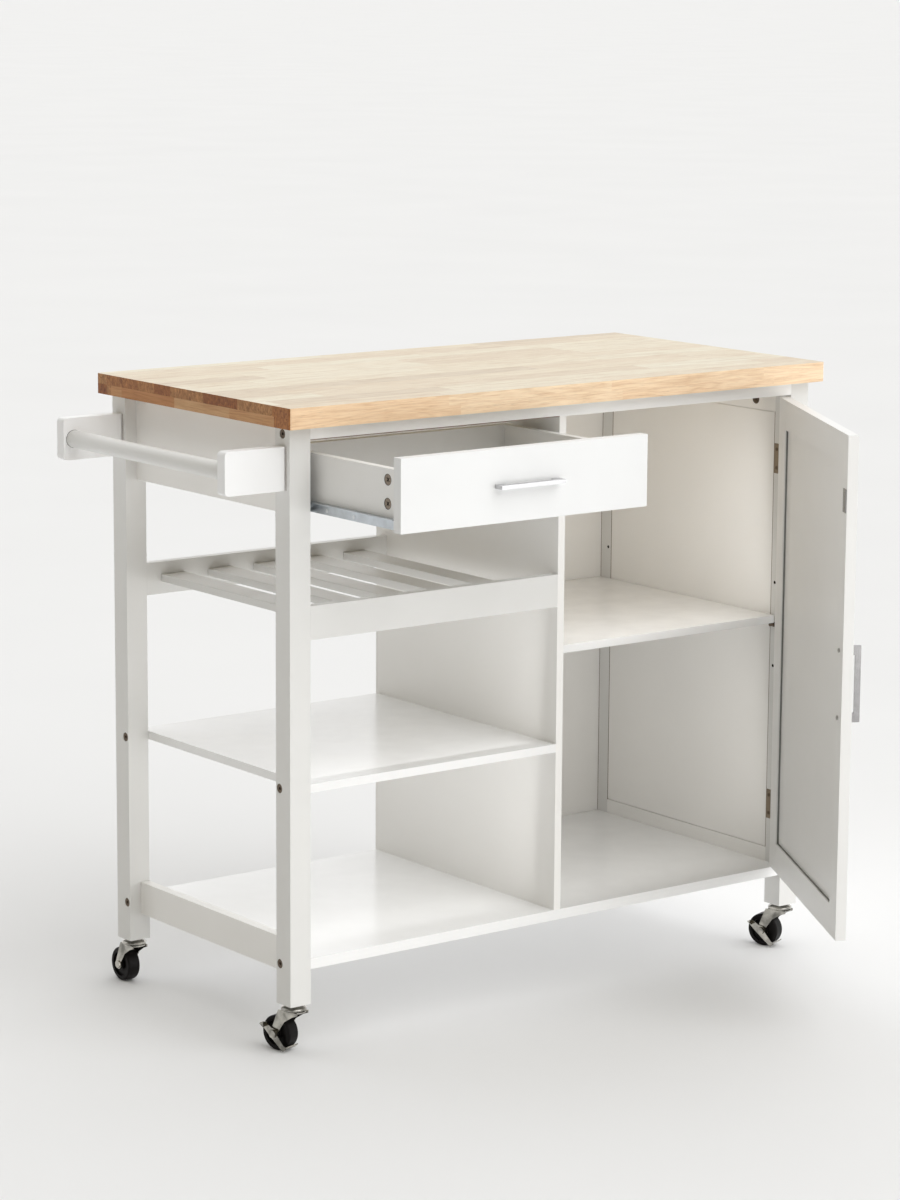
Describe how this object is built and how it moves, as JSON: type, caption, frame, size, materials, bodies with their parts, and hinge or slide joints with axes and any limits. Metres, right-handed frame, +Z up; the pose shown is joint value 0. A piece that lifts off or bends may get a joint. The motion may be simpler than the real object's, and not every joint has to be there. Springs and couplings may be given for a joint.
{
  "type": "kitchen island cart",
  "caption": "Wheeled kitchen island with a wooden worktop, a drawer, a slatted bottle rack, open shelves, a cupboard with a hinged door, and a towel bar.",
  "frame": {"origin": "middle of the bounding box at floor level, with the drawer and the door as stored", "axes": "+X along the worktop from its towel bar end to its cupboard end, +Y from the front to the back, +Z up"},
  "size_m": [1.051, 0.8524, 0.905],
  "materials": {
    "white_paint": "satin",
    "board_wood": "oiled",
    "aluminium": "satin",
    "runner_steel": "satin",
    "dark_bronze": "satin",
    "hinge_steel": "satin",
    "zinc": "polished",
    "black_plastic": "gloss",
    "roller_plastic": "matt",
    "catch_plastic": "matt"
  },
  "bodies": {
    "cart": {"worktop": "board_wood", "leg_front_left": "white_paint", "leg_front_right": "white_paint", "leg_back_left": "white_paint", "leg_back_right": "white_paint", "top_rail_front": "white_paint", "top_rail_back": "white_paint", "side_apron_left": "white_paint", "lower_rail_left": "white_paint", "side_panel_right": "white_paint", "upper_rail_right": "white_paint", "lower_rail_right": "white_paint", "back_apron": "white_paint", "divider": "white_paint", "bottom_shelf": "white_paint", "left_shelf": "white_paint", "rack_rail_front": "white_paint", "rack_rail_back": "white_paint", "rack_slats": "white_paint", "back_panel": "white_paint", "cupboard_shelf": "white_paint", "shelf_pins": "zinc", "frame_bolts": "dark_bronze", "carcass_fixings": "dark_bronze", "cabinet_runners": "runner_steel", "magnetic_catch": "catch_plastic", "hinge_leaves_frame": "hinge_steel", "towel_bracket_front": "white_paint", "towel_bracket_back": "white_paint", "towel_bar": "white_paint", "caster_stems": "zinc"},
    "drawer": {"drawer_front": "white_paint", "drawer_side_left": "white_paint", "drawer_side_right": "white_paint", "drawer_back": "white_paint", "drawer_bottom": "white_paint", "drawer_handle": "aluminium", "drawer_fixings": "dark_bronze", "drawer_runners": "runner_steel"},
    "front_rollers": {"front_rollers": "roller_plastic"},
    "rear_rollers": {"rear_rollers": "roller_plastic"},
    "door": {"door_stile_hinge": "white_paint", "door_stile_handle": "white_paint", "door_rail_top": "white_paint", "door_rail_bottom": "white_paint", "door_panel": "white_paint", "door_handle": "aluminium", "door_fixings": "dark_bronze", "strike_plate": "hinge_steel", "hinge_leaves_door": "hinge_steel"},
    "fork_fl": {"caster_fork_fl": "zinc"},
    "wheel_fl": {"caster_wheel_fl": "black_plastic"},
    "brake_fl": {"caster_brake_fl": "zinc"},
    "fork_fr": {"caster_fork_fr": "zinc"},
    "wheel_fr": {"caster_wheel_fr": "black_plastic"},
    "brake_fr": {"caster_brake_fr": "zinc"},
    "fork_bl": {"caster_fork_bl": "zinc"},
    "wheel_bl": {"caster_wheel_bl": "black_plastic"},
    "fork_br": {"caster_fork_br": "zinc"},
    "wheel_br": {"caster_wheel_br": "black_plastic"}
  },
  "joints": [
    {"name": "drawer_slide", "type": "slide", "parent": "cart", "child": "drawer", "axis": [0, -1, 0], "range_m": [-0.199, 0.026]},
    {"name": "front_roller_spin", "type": "hinge", "parent": "cart", "child": "front_rollers", "pos_m": [-0.1785, -0.02631, 0.7647], "axis": [1, 0, 0], "continuous": true},
    {"name": "rear_roller_spin", "type": "hinge", "parent": "drawer", "child": "rear_rollers", "pos_m": [-0.1785, 0.04369, 0.7651], "axis": [1, 0, 0], "continuous": true},
    {"name": "door_hinge", "type": "hinge", "parent": "cart", "child": "door", "pos_m": [0.4765, -0.05751, 0.495], "axis": [0, 0, 1], "range_deg": [-60.6, 109.4]},
    {"name": "swivel_fl", "type": "hinge", "parent": "cart", "child": "fork_fl", "pos_m": [-0.4105, -0.03731, 0.06], "axis": [0, 0, 1], "continuous": true},
    {"name": "wheel_spin_fl", "type": "hinge", "parent": "fork_fl", "child": "wheel_fl", "pos_m": [-0.41671, -0.01413, 0.025], "axis": [-0.9659, -0.2588, 0], "continuous": true},
    {"name": "brake_lever_fl", "type": "hinge", "parent": "fork_fl", "child": "brake_fl", "pos_m": [-0.41671, -0.01413, 0.025], "axis": [-0.9659, -0.2588, 0], "range_deg": [0, 14]},
    {"name": "swivel_fr", "type": "hinge", "parent": "cart", "child": "fork_fr", "pos_m": [0.4955, -0.03731, 0.06], "axis": [0, 0, 1], "continuous": true},
    {"name": "wheel_spin_fr", "type": "hinge", "parent": "fork_fr", "child": "wheel_fr", "pos_m": [0.48729, -0.01476, 0.025], "axis": [-0.9397, -0.342, 0], "continuous": true},
    {"name": "brake_lever_fr", "type": "hinge", "parent": "fork_fr", "child": "brake_fr", "pos_m": [0.48729, -0.01476, 0.025], "axis": [-0.9397, -0.342, 0], "range_deg": [0, 14]},
    {"name": "swivel_bl", "type": "hinge", "parent": "cart", "child": "fork_bl", "pos_m": [-0.4105, 0.37669, 0.06], "axis": [0, 0, 1], "continuous": true},
    {"name": "wheel_spin_bl", "type": "hinge", "parent": "fork_bl", "child": "wheel_bl", "pos_m": [-0.4105, 0.40069, 0.025], "axis": [-1, 0, 0], "continuous": true},
    {"name": "swivel_br", "type": "hinge", "parent": "cart", "child": "fork_br", "pos_m": [0.4955, 0.37669, 0.06], "axis": [0, 0, 1], "continuous": true},
    {"name": "wheel_spin_br", "type": "hinge", "parent": "fork_br", "child": "wheel_br", "pos_m": [0.49257, 0.40051, 0.025], "axis": [-0.9925, -0.1219, 0], "continuous": true}
  ],
  "couplings": [
    {"joint": "front_roller_spin", "follows": "drawer_slide", "rad_per_m": 172.41},
    {"joint": "rear_roller_spin", "follows": "drawer_slide", "rad_per_m": 147.06}
  ]
}
